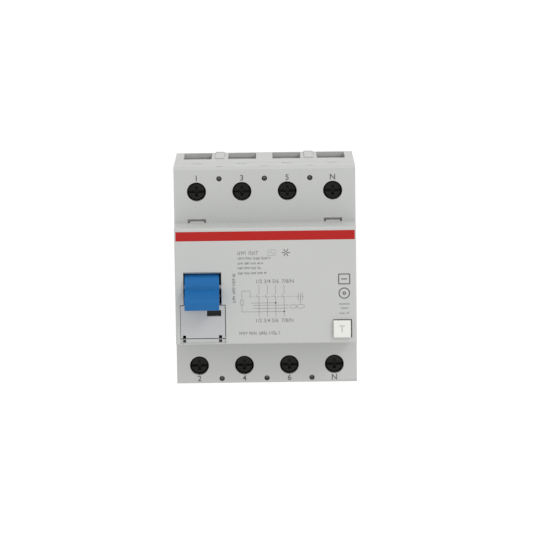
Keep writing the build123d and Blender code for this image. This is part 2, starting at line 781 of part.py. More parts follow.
def trip_bar():
    """Bar that the relay's plunger turns to release the latch in the mechanism."""
    middle = (relay_x[0] + relay_x[1]) / 2
    left = plate_spans()[0][0]
    bar = rod_x(trip_r, trip_y, trip_z, left, middle + 3)
    bar += block(middle - 1.5, middle + 1.5, plunger_y - 1.8, trip_y, trip_z, trip_z + trip_r)
    bar += block(window[0] + 6, window[0] + 8, trip_y - 0.8, trip_y + 5, trip_z - 0.6, trip_z + 0.6)
    return bar


# ---- test circuit ----
def test_button():
    """Square cap, the flange that keeps it in, and its stem."""
    reach = button_size / 2
    cap = block(button_x - reach, button_x + reach, button_front, nose_y + wall + 1.0,
                button_z - reach, button_z + reach)
    cap = fillet(cap.faces().sort_by(Axis.Y)[0].edges(), 0.5)
    left, right, low, high = (reach + a + b for a, b in zip(button_play, button_lap))
    flange = block(button_x - left, button_x + right, nose_y + wall + 0.2, nose_y + wall + 1.4,
                   button_z - low, button_z + high)
    stem = rod_y(1.2, button_x, button_z, nose_y + wall + 1.0, blade_y - gap)
    return cap + flange + stem


def test_blade():
    """Contact blade that the stem bends back."""
    return block(button_x - 2, button_x + 2, blade_y, blade_y + 0.5, button_z - 2.5, blade_top)


def test_block():
    """Block on the cover's side wall that holds the blade's upper end."""
    x1 = nose_wide - side_wall - 0.1
    shape = block(button_x - 4, x1, blade_y - 2.2, blade_y + 2.8, blade_pivot_z - 1.2, blade_top + 3)
    slot = block(button_x - 2 - gap, button_x + 2 + gap, blade_y - gap, blade_y + 0.5 + gap,
                 blade_pivot_z - 1.2, blade_top + gap)
    return shape - slot


def test_contact():
    """Fixed contact strip behind the blade's free end."""
    y = blade_y + 0.5 + button_travel + 2 * gap
    x1 = nose_wide - side_wall - 0.1
    foot = block(x1 - 1.0, x1, y, y + 6, button_z - 2, button_z + 2)
    return foot + block(button_x - 1.5, x1, y, y + 0.6, button_z - 2, button_z + 2)


def test_resistor():
    """Resistor of the test circuit, lying on the case's floor."""
    body = rod_x(2.2, -wall - gap - 2.2, -10.0, 14.0, 24.0)
    body = fillet(body.edges(), 0.6)
    return body + rod_x(0.4, -wall - gap - 2.2, -10.0, 11.5, 26.5)


# ---- rail clips ----
def rail_clip(x):
    """Sliding clip: pull tab at the top, ridge in the channel, foot behind the rail."""
    clip = block(x - clip_half, x + clip_half, clip_y[0], clip_y[1], clip_foot_z[0], case_top + clip_tab)
    clip += block(x - clip_ridge_half, x + clip_ridge_half, clip_y[1], back_y - 0.2,
                  clip_foot_z[0], case_top)
    clip += block(x - clip_foot_half, x + clip_foot_half, hook_y[0], back_y - 0.4,
                  clip_foot_z[0], clip_foot_z[1])
    toe = clip.edges().filter_by(Axis.X).filter_by(
        lambda e: abs(e.center().Z - clip_foot_z[0]) < 0.01 and abs(e.center().Y - back_y + 0.4) < 0.01)
    return chamfer(toe, 0.8)


def clip_spring(x):
    """Coil that presses the clip's foot down behind the rail."""
    height = pocket_top - clip_foot_z[1] - 0.8
    coil = Helix(pitch=0.85, height=height, radius=0.9)
    wire = Plane(coil @ 0, z_dir=coil % 0) * Circle(0.18)
    spring = sweep(wire, path=coil, is_frenet=True)
    return Location((x + 3.5, 2.9, clip_foot_z[1] + 0.4)) * spring


os.makedirs("parts", exist_ok=True)
write("case_base", case_base())
write("front_cover", front_cover())
write("housing_pins", housing_pins())
for row in ("upper", "lower"):
    for number, x in enumerate(pole_x, start=1):
        write(f"terminal_screw_{row}_{number}", terminal_screw(x, row))
        write(f"clamp_cage_{row}_{number}", clamp_cage(x, row))
write("fixed_contact_bars", [fixed_contact_bar(x) for x in pole_x])
write("fixed_contact_pads", [fixed_pad(x) for x in pole_x])
write("lower_terminal_bars", [terminal_bar(x, "lower")[0] for x in pole_x])
chutes = [arc_chute(x) for x in pole_x]
write("arc_splitter_plates", [p for plates, cheeks in chutes for p in plates])
write("arc_chute_cheeks", [c for plates, cheeks in chutes for c in cheeks])
write("toggle_lever", toggle_lever())
write("toggle_pin", toggle_pin())
write("link_rod", link_rod())
spans = plate_spans()
write("mechanism_plate_left", plate(spans[0], plate_y[0], True))
write("mechanism_plate_right", plate(spans[1], plate_y[0], True))
write("shaft_bearing_plate", plate(spans[2], shaft_y - 4.5, False))
write("contact_shaft", contact_shaft())
write("moving_arms", [moving_arm(x) for x in pole_x])
write("moving_contact_pads", [moving_pad(x) for x in pole_x])
write("opening_spring", opening_spring())
write("label_flap", label_flap())
write("indicator_lens", indicator_lens())
write("indicator_flag", indicator_flag())
write("indicator_backing", indicator_backing())
cup, lid, core, wound = transformer()
write("transformer_cup", cup)
write("transformer_lid", lid)
write("transformer_core", core)
write("secondary_winding", wound)
write("primary_leads", [primary_lead(i) for i in range(poles)])
case, relay_top, yoke, coil, magnet, plunger = relay()
write("relay_case", case)
write("relay_lid", relay_top)
write("relay_yoke", yoke)
write("relay_coil", coil)
write("relay_magnet", magnet)
write("relay_plunger", plunger)
write("trip_bar", trip_bar())
write("test_button", test_button())
write("test_blade", test_blade())
write("test_block", test_block())
write("test_contact", test_contact())
write("test_resistor", test_resistor())
for name, x in (("left", clip_x[0]), ("right", clip_x[1])):
    write(f"rail_clip_{name}", rail_clip(x))
    write(f"clip_spring_{name}", clip_spring(x))
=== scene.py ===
# %% [markdown]
# # A residual current device, dressed in Blender
# The shapes come from the CAD frame: a grey two-part housing, a blue toggle, a white test button and
# rows of terminal screws. What is left to do here is the finish: how moulded plastic scatters light,
# how print sits on it, and how small metal pieces look at the bottom of a dark well.

# %% Load the frame
import json
import math

import bmesh
import bpy
import numpy as np
from mathutils import Matrix, Vector


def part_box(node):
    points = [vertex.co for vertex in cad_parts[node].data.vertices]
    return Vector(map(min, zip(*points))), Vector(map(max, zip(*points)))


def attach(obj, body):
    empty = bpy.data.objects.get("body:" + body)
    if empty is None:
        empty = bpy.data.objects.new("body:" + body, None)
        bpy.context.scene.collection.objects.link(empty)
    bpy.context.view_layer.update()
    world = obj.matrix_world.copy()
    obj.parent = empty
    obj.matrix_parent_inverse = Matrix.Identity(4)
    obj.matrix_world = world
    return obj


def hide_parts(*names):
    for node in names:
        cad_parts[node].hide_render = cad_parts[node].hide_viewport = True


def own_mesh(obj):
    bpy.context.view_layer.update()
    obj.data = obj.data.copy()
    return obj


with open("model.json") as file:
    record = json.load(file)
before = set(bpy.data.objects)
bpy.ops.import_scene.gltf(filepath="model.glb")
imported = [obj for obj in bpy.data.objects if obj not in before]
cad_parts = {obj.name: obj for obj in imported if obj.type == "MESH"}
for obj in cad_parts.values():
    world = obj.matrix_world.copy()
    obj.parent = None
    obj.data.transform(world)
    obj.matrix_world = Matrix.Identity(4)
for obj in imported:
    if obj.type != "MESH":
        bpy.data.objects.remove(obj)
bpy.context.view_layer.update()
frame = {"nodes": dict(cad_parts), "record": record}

MM = 0.001
nodes = frame["nodes"]

# %% [markdown]
# ## Places read from the frame
# Nothing is measured twice: the faces that carry print are the front corners of the CAD nodes. A node's
# lowest and highest corner give its faces directly, so a printed mark stays on its face if a size
# changes.

# %% Faces that carry print
cover_low = np.array(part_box("front_cover")[0])
base_low = np.array(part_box("case_base")[0])
button_low, button_high = (np.array(corner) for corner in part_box("test_button"))
nose_front = cover_low[1]
nose_rise = 15.0 * MM
shoulder_front = nose_front + nose_rise
screw_boxes = [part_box(f"terminal_screw_upper_{i}") for i in range(1, 5)]
pole_x = [(low[0] + high[0]) / 2 for low, high in screw_boxes]
print("nose face at", round(nose_front / MM, 2), "mm, poles at", [round(x / MM, 2) for x in pole_x])

# %% [markdown]
# ## Camera and light
# A long lens far away keeps the sides of a small product nearly parallel. The camera looks down a
# little, so the tops of the two shoulders show. The light is that of a white light tent: the world has
# strength 1, so plain white paper and bare plastic keep their own values, and one soft lamp, high in
# front at the right, adds a little direction to the shading. The view transform is the plain
# one, because a filmic curve would grey the white surround.

# %% Camera
camera_data = bpy.data.cameras.new("camera")
camera_data.lens = 192.0
camera_data.sensor_width = 36.0
camera = bpy.data.objects.new("camera", camera_data)
bpy.context.scene.collection.objects.link(camera)
elevation = math.radians(9.3)
roll = math.radians(-0.76)
target = Vector((1.7 * MM, shoulder_front, 3.68 * MM))
camera_distance = 1.115
camera.location = target + camera_distance * Vector((0, -math.cos(elevation), math.sin(elevation)))
turn = Matrix.Rotation(math.pi / 2 - elevation, 3, "X") @ Matrix.Rotation(roll, 3, "Z")
camera.rotation_euler = turn.to_euler()
bpy.context.scene.camera = camera
bpy.context.scene.view_settings.view_transform = "Standard"


def area_lamp(name, place, size, power, aim=(0, -0.04, 0)):
    """A square soft lamp at place, facing aim."""
    data = bpy.data.lights.new(name, "AREA")
    data.size = size
    data.energy = power
    lamp = bpy.data.objects.new(name, data)
    lamp.location = place
    facing = Vector(aim) - Vector(place)
    lamp.rotation_euler = facing.to_track_quat("-Z", "Y").to_euler()
    bpy.context.scene.collection.objects.link(lamp)
    return lamp


area_lamp("key_lamp", (0.85, -0.8, 0.95), 0.45, 5.5)
world = bpy.data.worlds.new("studio")
world.use_nodes = True
world.node_tree.nodes["Background"].inputs["Color"].default_value = (1, 1, 1, 1)
world.node_tree.nodes["Background"].inputs["Strength"].default_value = 1.0
bpy.context.scene.world = world
print("camera is", round(camera_distance, 3), "m from the shoulders")

# %% [markdown]
# ## Floor
# A white light table under the device, far larger than the view, so its edge never shows. It glows as
# strongly as the world does, which leaves no shadow under the device. It is a stage piece, not part of
# the object, and has only its four corners, because a flat floor needs no more.

# %% Floor
floor_half = 30.0
corners = np.array([(-1, -1), (1, -1), (1, 1), (-1, 1)]) * floor_half
floor_mesh = bpy.data.meshes.new("floor")
floor_mesh.from_pydata([(x, y, base_low[2]) for x, y in corners], [], [(0, 1, 2, 3)])
floor = bpy.data.objects.new("floor", floor_mesh)
bpy.context.scene.collection.objects.link(floor)
floor_paper = bpy.data.materials.new("floor_paper")
floor_paper.use_nodes = True
floor_shader = floor_paper.node_tree.nodes["Principled BSDF"]
floor_shader.inputs["Base Color"].default_value = (0.02, 0.02, 0.02, 1)
floor_shader.inputs["Roughness"].default_value = 0.9
floor_shader.inputs["Specular IOR Level"].default_value = 0.1
floor_shader.inputs["Emission Color"].default_value = (1, 1, 1, 1)
floor_shader.inputs["Emission Strength"].default_value = 1.0
floor_mesh.materials.append(floor_paper)

# %% [markdown]
# ## Shared shader groups
# Three effects recur on nearly every piece. **Moulded skin** is the fine orange-peel left by a spark
# eroded mould: a noise in object space, small in height, that also mottles colour and gloss a little.
# ** Painted crevice shade** darkens colour where ambient occlusion finds little light: it is painted shade.
# **Edge wear and highlight** lightens corners: partly wear where fingers and screwdrivers touch, partly
# a painted highlight on the edges. Each is a node group, built once, and each material sets its values.

# %% Group helpers
def new_group(name, inputs, outputs):
    """An empty shader group with float or colour sockets; inputs are (name, kind, value)."""
    group = bpy.data.node_groups.new(name, "ShaderNodeTree")
    kinds = {"float": "NodeSocketFloat", "color": "NodeSocketColor", "vector": "NodeSocketVector"}
    for label, kind, value in inputs:
        socket = group.interface.new_socket(label, in_out="INPUT", socket_type=kinds[kind])
        if value is not None:
            socket.default_value = value
    for label, kind in outputs:
        group.interface.new_socket(label, in_out="OUTPUT", socket_type=kinds[kind])
    return group, group.nodes.new("NodeGroupInput"), group.nodes.new("NodeGroupOutput")


def math_node(tree, kind, first, second=None, third=None, clamp=False):
    """A Math node; each operand is a socket or a number."""
    node = tree.nodes.new("ShaderNodeMath")
    node.operation = kind
    node.use_clamp = clamp
    for slot_number, operand in enumerate((first, second, third)):
        if operand is None:
            continue
        if isinstance(operand, (int, float)):
            node.inputs[slot_number].default_value = operand
        else:
            tree.links.new(operand, node.inputs[slot_number])
    return node.outputs[0]


def mix_color(tree, factor, first, second):
    """Colour first where factor is 0, and second where it is 1."""
    node = tree.nodes.new("ShaderNodeMix")
    node.data_type = "RGBA"
    for index, operand in ((0, factor), (6, first), (7, second)):
        if isinstance(operand, (int, float)):
            node.inputs[index].default_value = operand
        elif isinstance(operand, tuple):
            node.inputs[index].default_value = (*operand, 1)
        else:
            tree.links.new(operand, node.inputs[index])
    return node.outputs[2]


# %% Moulded skin
def build_moulded_skin():
    """Noise at grain size for height, and at hand size for a faint drift of colour and gloss."""
    group, given, result = new_group(
        "moulded_skin",
        [("Color", "color", (0.5, 0.5, 0.5, 1)), ("Grain", "float", 2200.0), ("Roughness", "float", 0.5),
         ("Mottle", "float", 0.03)],
        [("Color", "color"), ("Roughness", "float"), ("Height", "float")])
    place = group.nodes.new("ShaderNodeTexCoord")
    fine = group.nodes.new("ShaderNodeTexNoise")
    fine.inputs["Detail"].default_value = 3.0
    group.links.new(place.outputs["Object"], fine.inputs["Vector"])
    group.links.new(given.outputs["Grain"], fine.inputs["Scale"])
    broad = group.nodes.new("ShaderNodeTexNoise")
    broad.inputs["Scale"].default_value = 55.0
    broad.inputs["Detail"].default_value = 4.0
    group.links.new(place.outputs["Object"], broad.inputs["Vector"])
    drift = math_node(group, "SUBTRACT", broad.outputs["Fac"], 0.5)
    drift = math_node(group, "MULTIPLY", drift, given.outputs["Mottle"])
    scale = math_node(group, "ADD", drift, 1.0)
    tint = group.nodes.new("ShaderNodeVectorMath")
    tint.operation = "SCALE"
    group.links.new(given.outputs["Color"], tint.inputs[0])
    group.links.new(scale, tint.inputs["Scale"])
    group.links.new(tint.outputs[0], result.inputs["Color"])
    gloss = math_node(group, "MULTIPLY_ADD", drift, 4.0, given.outputs["Roughness"], clamp=True)
    group.links.new(gloss, result.inputs["Roughness"])
    group.links.new(fine.outputs["Fac"], result.inputs["Height"])
    return group


moulded_skin = build_moulded_skin()


# %% Painted crevice shade
def build_painted_crevice_shade():
    """Painted shade: one less the ambient occlusion, times Amount, is 0 on open faces and Amount deep in
    a corner.
    """
    group, given, result = new_group(
        "painted_crevice_shade", [("Reach", "float", 0.002), ("Amount", "float", 0.3)], [("Mask", "float")])
    shade = group.nodes.new("ShaderNodeAmbientOcclusion")
    shade.samples = 6
    group.links.new(given.outputs["Reach"], shade.inputs["Distance"])
    hidden = math_node(group, "SUBTRACT", 1.0, shade.outputs["AO"], clamp=True)
    group.links.new(math_node(group, "MULTIPLY", hidden, given.outputs["Amount"]), result.inputs["Mask"])
    return group


painted_crevice_shade = build_painted_crevice_shade()


# %% Edge wear and painted highlight
def build_wear_and_edge_highlight():
    """A mask for wear and painted highlight on edges: where a rounded normal leaves the flat one, there
    is a corner; noise breaks the line up.
    """
    group, given, result = new_group(
        "wear_and_edge_highlight", [("Width", "float", 0.0002), ("Amount", "float", 0.4)],
        [("Mask", "float"), ("Normal", "vector")])
    rounded = group.nodes.new("ShaderNodeBevel")
    rounded.samples = 4
    group.links.new(given.outputs["Width"], rounded.inputs["Radius"])
    plain = group.nodes.new("ShaderNodeNewGeometry")
    agree = group.nodes.new("ShaderNodeVectorMath")
    agree.operation = "DOT_PRODUCT"
    group.links.new(rounded.outputs[0], agree.inputs[0])
    group.links.new(plain.outputs["Normal"], agree.inputs[1])
    corner = math_node(group, "SUBTRACT", 1.0, agree.outputs["Value"])
    corner = math_node(group, "MULTIPLY", corner, 4.0, clamp=True)
    place = group.nodes.new("ShaderNodeTexCoord")
    patches = group.nodes.new("ShaderNodeTexNoise")
    patches.inputs["Scale"].default_value = 420.0
    group.links.new(place.outputs["Object"], patches.inputs["Vector"])
    broken = math_node(group, "MULTIPLY", corner, patches.outputs["Fac"])
    group.links.new(math_node(group, "MULTIPLY", broken, given.outputs["Amount"]), result.inputs["Mask"])
    group.links.new(rounded.outputs[0], result.inputs["Normal"])
    return group


wear_and_edge_highlight = build_wear_and_edge_highlight()
print("groups", [g.name for g in bpy.data.node_groups])

# %% [markdown]
# ## Plastics
# Every plastic is the same recipe with other values: moulded skin for colour, painted shade in the
# corners, wear and painted highlight on the edges, and a bump so low that it only softens the
# reflection.
# The housing is a thermoset with a dull satin face; the toggle and the button are glossier
# thermoplastics.

# %% Plastic recipe
def place_group(tree, group, **values):
    """A group node in a material, with its constants set on its own sockets."""
    node = tree.nodes.new("ShaderNodeGroup")
    node.node_tree = group
    for label, value in values.items():
        node.inputs[label].default_value = value
    return node


def plastic(name, color, roughness, grain=2200.0, mottle=0.03, bump=0.000004, shade_amount=0.35,
            wear_and_highlight=0.25, specular=0.5, worn_highlight=(0.75, 0.75, 0.74)):
    """Moulded plastic: its look comes from the three shared groups, and one Principled shader."""
    material = bpy.data.materials.new(name)
    material.use_nodes = True
    tree = material.node_tree
    shader = tree.nodes["Principled BSDF"]
    skin = place_group(tree, moulded_skin, Color=(*color, 1), Grain=grain, Roughness=roughness,
                       Mottle=mottle)
    # Painted shade darkens the colour in corners and recesses; a painted highlight, with wear, lightens
    # the edges.
    crevice_shading = place_group(tree, painted_crevice_shade, Reach=0.002, Amount=shade_amount)
    edge_lightening = place_group(tree, wear_and_edge_highlight, Width=0.0002, Amount=wear_and_highlight)
    dark = tuple(0.45 * channel for channel in color)
    shaded = mix_color(tree, crevice_shading.outputs["Mask"], skin.outputs["Color"], dark)
    final = mix_color(tree, edge_lightening.outputs["Mask"], shaded, worn_highlight)
    tree.links.new(final, shader.inputs["Base Color"])
    tree.links.new(skin.outputs["Roughness"], shader.inputs["Roughness"])
    shader.inputs["Specular IOR Level"].default_value = specular
    relief = tree.nodes.new("ShaderNodeBump")
    relief.inputs["Distance"].default_value = bump
    tree.links.new(skin.outputs["Height"], relief.inputs["Height"])
    tree.links.new(edge_lightening.outputs["Normal"], relief.inputs["Normal"])
    tree.links.new(relief.outputs[0], shader.inputs["Normal"])
    return material


# The worn colours are painted highlights on the edges, with some wear: pale grey on the housing, pale
# blue on the toggle.
housing_plastic = plastic("housing_plastic", (0.484, 0.491, 0.478), 0.46, shade_amount=0.08, wear_and_highlight=0.3,
                         specular=0.25)
blue_plastic = plastic("blue_plastic", (0.006, 0.118, 0.335), 0.38, shade_amount=0.8, wear_and_highlight=0.35, specular=0.25,
                       worn_highlight=(0.25, 0.45, 0.75))
white_plastic = plastic("white_plastic", (0.70, 0.705, 0.665), 0.35)
black_plastic = plastic("black_plastic", (0.03, 0.03, 0.032), 0.5, worn_highlight=(0.12, 0.12, 0.12))
red_flag_paint = plastic("red_flag_paint", (0.5, 0.02, 0.015), 0.6)
green_flag_paint = plastic("green_flag_paint", (0.012, 0.09, 0.035), 0.6)
fibre_board = plastic("fibre_board", (0.32, 0.19, 0.11), 0.8, mottle=0.4, worn_highlight=(0.45, 0.3, 0.2))

# %% [markdown]
# ## The red band
# The band across the nose is printed straight on the housing, so it has no thickness of its own. It is
# a mask in the cover's material: one inside a box in object space, zero outside. Its edges are where
# the pad printer's ink ends, so they are crisp, and the ink is a little glossier than the plastic.

# %% Red band on the cover
def inside(tree, coordinate, low, high):
    """1 where coordinate lies between low and high, else 0."""
    above = math_node(tree, "GREATER_THAN", coordinate, low)
    below = math_node(tree, "LESS_THAN", coordinate, high)
    return math_node(tree, "MULTIPLY", above, below)


def add_band(material, low_z, high_z, half_x, depth, ink, ink_roughness):
    """Prints a band on the front face, over whatever the material's base colour is."""
    tree = material.node_tree
    shader = tree.nodes["Principled BSDF"]
    place = tree.nodes.new("ShaderNodeTexCoord")
    split = tree.nodes.new("ShaderNodeSeparateXYZ")
    tree.links.new(place.outputs["Object"], split.inputs[0])
    height = inside(tree, split.outputs["Z"], low_z, high_z)
    across = inside(tree, split.outputs["X"], -half_x, half_x)
    front = math_node(tree, "LESS_THAN", split.outputs["Y"], depth)
    mask = math_node(tree, "MULTIPLY", math_node(tree, "MULTIPLY", height, across), front)
    under = shader.inputs["Base Color"].links[0].from_socket
    tree.links.new(mix_color(tree, mask, under, ink), shader.inputs["Base Color"])
    dull = shader.inputs["Roughness"].links[0].from_socket
    change = math_node(tree, "SUBTRACT", ink_roughness, dull)
    tree.links.new(math_node(tree, "MULTIPLY_ADD", mask, change, dull), shader.inputs["Roughness"])


cover_plastic = housing_plastic.copy()
cover_plastic.name = "cover_plastic"
band_z = (17.6 * MM, 21.2 * MM)
band_half = 34.2 * MM
red_ink = (0.385, 0.007, 0.005)
add_band(cover_plastic, *band_z, band_half, nose_front + 0.4 * MM, red_ink, 0.36)

# %% [markdown]
# ## Metals
# Screws are a near-black steel, cages and clips of steel are zinc plated, and the inner conductors are
# copper. A metal at this size shows its making: turned rings on a screw, rolled streaks on a strip. A
# noise stretched along one axis is enough, and its contrast goes to the roughness, not to the colour.

# %% Metal recipe
def metal(name, color, roughness, stretch=(60, 900, 60), streak=0.25, metallic=1.0, shade_amount=0.2, wear_and_highlight=0.5):
    """Metal with a streaked gloss: noise in object space scaled unequally along the axes."""
    material = bpy.data.materials.new(name)
    material.use_nodes = True
    tree = material.node_tree
    shader = tree.nodes["Principled BSDF"]
    place = tree.nodes.new("ShaderNodeTexCoord")
    mapping = tree.nodes.new("ShaderNodeMapping")
    mapping.inputs["Scale"].default_value = stretch
    noise = tree.nodes.new("ShaderNodeTexNoise")
    noise.inputs["Scale"].default_value = 6.0
    noise.inputs["Detail"].default_value = 5.0
    tree.links.new(place.outputs["Object"], mapping.inputs["Vector"])
    tree.links.new(mapping.outputs[0], noise.inputs["Vector"])
    streaks = math_node(tree, "MULTIPLY_ADD", noise.outputs["Fac"], streak, roughness - streak / 2,
                        clamp=True)
    # Painted shade darkens the colour in corners; a painted highlight, with wear, brightens the edges.
    crevice_shading = place_group(tree, painted_crevice_shade, Reach=0.001, Amount=shade_amount)
    edge_lightening = place_group(tree, wear_and_edge_highlight, Width=0.00012, Amount=wear_and_highlight)
    dark = tuple(0.3 * channel for channel in color)
    bright = tuple(min(1.0, 1.5 * channel + 0.05) for channel in color)
    shaded = mix_color(tree, crevice_shading.outputs["Mask"], color, dark)
    tree.links.new(mix_color(tree, edge_lightening.outputs["Mask"], shaded, bright), shader.inputs["Base Color"])
    tree.links.new(streaks, shader.inputs["Roughness"])
    tree.links.new(edge_lightening.outputs["Normal"], shader.inputs["Normal"])
    shader.inputs["Metallic"].default_value = metallic
    return material


# The screws get strong painted shade, which darkens them down in their wells.
black_steel = metal("black_steel", (0.022, 0.022, 0.021), 0.45, streak=0.35, shade_amount=0.7, wear_and_highlight=0.25)
zinc_steel = metal("zinc_steel", (0.62, 0.63, 0.64), 0.35)
copper_metal = metal("copper_metal", (0.72, 0.38, 0.24), 0.35)
silver_metal = metal("silver_metal", (0.8, 0.8, 0.78), 0.25)
core_steel = metal("core_steel", (0.25, 0.25, 0.27), 0.5, stretch=(60, 60, 1500))
pin_metal = metal("pin_metal", (0.16, 0.16, 0.155), 0.5)

# %% [markdown]
# ## Clear pieces
# On the real device both pieces let light through. The flap has a pale card right behind it, so the
# plastic recipe in a cooler grey gives its look. The indicator's window is polished, and its near-black
# tint is painted shade for the shadow in the recess behind it, so at rest it looks almost black. It is a
# plain Principled shader with constant transmission.

# %% Flap and lens
flap_plastic = plastic("flap_plastic", (0.437, 0.444, 0.450), 0.33, bump=0.000002, shade_amount=0.25)
lens_painted_shade = bpy.data.materials.new("lens_painted_shade")
lens_painted_shade.use_nodes = True
lens_shader = lens_painted_shade.node_tree.nodes["Principled BSDF"]
# The near-black base colour is painted shade, for the dark recess behind the window.
lens_shader.inputs["Base Color"].default_value = (0.012, 0.012, 0.01, 1)
lens_shader.inputs["Roughness"].default_value = 0.08
lens_shader.inputs["Transmission Weight"].default_value = 0.4
lens_shader.inputs["Specular IOR Level"].default_value = 0.08
lens_shader.inputs["IOR"].default_value = 1.49

# %% Materials on the CAD nodes
finish_of_slot = {
    "housing": housing_plastic, "blue": blue_plastic, "white": white_plastic, "flap": flap_plastic,
    "lens": lens_painted_shade, "green": green_flag_paint, "red": red_flag_paint, "screw": black_steel,
    "steel": zinc_steel, "copper": copper_metal, "silver": silver_metal, "dark_plastic": black_plastic,
    "core": core_steel, "fibre": fibre_board, "pins": pin_metal,
}
slot_of_node = {row["node"]: row["material_slot"] for row in frame["record"]["subparts"]}
for name, piece in nodes.items():
    piece.data.materials.clear()
    finish = cover_plastic if name == "front_cover" else finish_of_slot[slot_of_node[name]]
    piece.data.materials.append(finish)
print("dressed", len(nodes), "nodes")

# %% [markdown]
# ## Print
# Marks on the housing are pad printed: flat ink a few hundredths of a millimetre thick. Each mark is a
# thin ribbon. A stroke from one point to the next becomes four corners, by stepping half the line's
# width to each side of its direction, and all strokes of a drawing are worked out in one array.

# %% Ink strokes
ink_lift = 0.02 * MM
ink = plastic("printing_ink", (0.10, 0.10, 0.105), 0.55, mottle=0.15, shade_amount=0.0, wear_and_highlight=0.0)
pale_ink = plastic("pale_ink", (0.30, 0.305, 0.31), 0.55, mottle=0.15, shade_amount=0.0, wear_and_highlight=0.0)
soft_ink = plastic("soft_ink", (0.20, 0.20, 0.205), 0.55, mottle=0.15, shade_amount=0.0, wear_and_highlight=0.0)
faint_ink = plastic("faint_ink", (0.45, 0.45, 0.44), 0.5, mottle=0.1, shade_amount=0.0, wear_and_highlight=0.0)


def add_piece(name, points, faces, material, body):
    """A new mesh piece at the origin, with its place in its points, riding on a body."""
    mesh = bpy.data.meshes.new(name)
    mesh.from_pydata(points.tolist(), [], faces.tolist())
    mesh.materials.append(material)
    piece = bpy.data.objects.new(name, mesh)
    bpy.context.scene.collection.objects.link(piece)
    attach(piece, body)
    return piece


def stroke_quads(segments, line):
    """Corners of ribbons: end points plus and minus half the line's width along the normal."""
    start, end = segments[:, 0:2], segments[:, 2:4]
    along = end - start
    length = np.linalg.norm(along, axis=1, keepdims=True)
    along = along / length
    side = np.stack([-along[:, 1], along[:, 0]], axis=1) * line / 2
    return np.stack([start - side, end - side, end + side, start + side], axis=1)


def print_strokes(name, segments, line, y, material=ink, body="housing"):
    """Strokes (x0, z0, x1, z1) in millimetres, printed on a front face at depth y."""
    quads = stroke_quads(np.asarray(segments, dtype=float) * MM, line * MM)
    flat = quads.reshape(-1, 2)
    points = np.column_stack([flat[:, 0], np.full(len(flat), y - ink_lift), flat[:, 1]])
    faces = np.arange(len(flat)).reshape(-1, 4)
    return add_piece(name, points, faces, material, body)


def ring_strokes(x, z, radius_x, radius_z, count=32, start=0.0, sweep=2 * math.pi):
    """An ellipse or arc as short strokes: x + a cos t, z + b sin t."""
    angle = start + np.linspace(0, sweep, count + 1)
    ring = np.column_stack([x + radius_x * np.cos(angle), z + radius_z * np.sin(angle)])
    return np.hstack([ring[:-1], ring[1:]])


def frame_strokes(x0, x1, z0, z1):
    """The four sides of a rectangle."""
    return np.array([(x0, z0, x1, z0), (x1, z0, x1, z1), (x1, z1, x0, z1), (x0, z1, x0, z0)])


# %% [markdown]
# ## Rating lines
# The real device carries type, rating and approval marks. None is copied. Rows of short upright ticks
# of uneven height stand for lines of small print, drawn with a seeded generator so they never change.

# %% Stand-in small print
random = np.random.default_rng(7)


def tick_row(x0, x1, z, height, gap_every=6):
    """Uneven upright ticks from x0 to x1, with a gap after each few, as small print looks from afar."""
    step = height * 0.42
    x = np.arange(x0, x1, step)
    x = x[np.arange(len(x)) % gap_every != gap_every - 1]
    low = z - height / 2 * random.uniform(0.6, 1.0, len(x))
    high = z + height / 2 * random.uniform(0.6, 1.0, len(x))
    uprights = np.column_stack([x, low, x + random.uniform(-0.1, 0.1, len(x)), high])
    keep = random.uniform(size=len(x)) < 0.6
    level = random.uniform(-0.4, 0.4, len(x)) * height + z
    bars = np.column_stack([x, level, x + step, level])[keep]
    return np.vstack([uprights, bars])


rating_left = -10.5
rating = [(12.8, 7.4, 1.7), (10.7, 12.2, 1.2), (8.8, 9.9, 1.0), (7.0, 8.7, 1.0), (5.0, 10.9, 1.0)]
rows = [tick_row(rating_left, rating_left + length, z, height) for z, length, height in rating]
print_strokes("rating_rows", np.vstack(rows), 0.2, nose_front, soft_ink)
print_strokes("serial_row", tick_row(-10.2, 5.4, -18.3, 1.5), 0.22, nose_front, soft_ink)
upright = tick_row(-6.2, 5.0, 12.2, 1.3)
turned = np.column_stack([-upright[:, 1], upright[:, 0], -upright[:, 3], upright[:, 2]])
print_strokes("side_row", turned, 0.24, nose_front, soft_ink)

# %% Symbols beside the rating
boxed_wave = np.vstack([frame_strokes(1.0, 3.8, 11.7, 13.9),
                        ring_strokes(2.0, 12.8, 0.45, 0.5, 10, 0.0, math.pi),
                        ring_strokes(2.9, 12.8, 0.45, 0.5, 10, math.pi, math.pi)])
spokes = np.arange(6) * math.pi / 3
star = np.column_stack([7.85 + 0.3 * np.cos(spokes), 12.8 + 0.3 * np.sin(spokes),
                        7.85 + 1.55 * np.cos(spokes), 12.8 + 1.55 * np.sin(spokes)])
print_strokes("rating_symbols", boxed_wave, 0.15, nose_front, pale_ink)
print_strokes("rating_star", star, 0.32, nose_front)

# %% [markdown]
# ## Wiring diagram
# The diagram is standard circuit graphics: four lines with switch contacts, a summation transformer
# drawn as a flat loop round them, and a test branch with a resistor. The four lines are a loop.

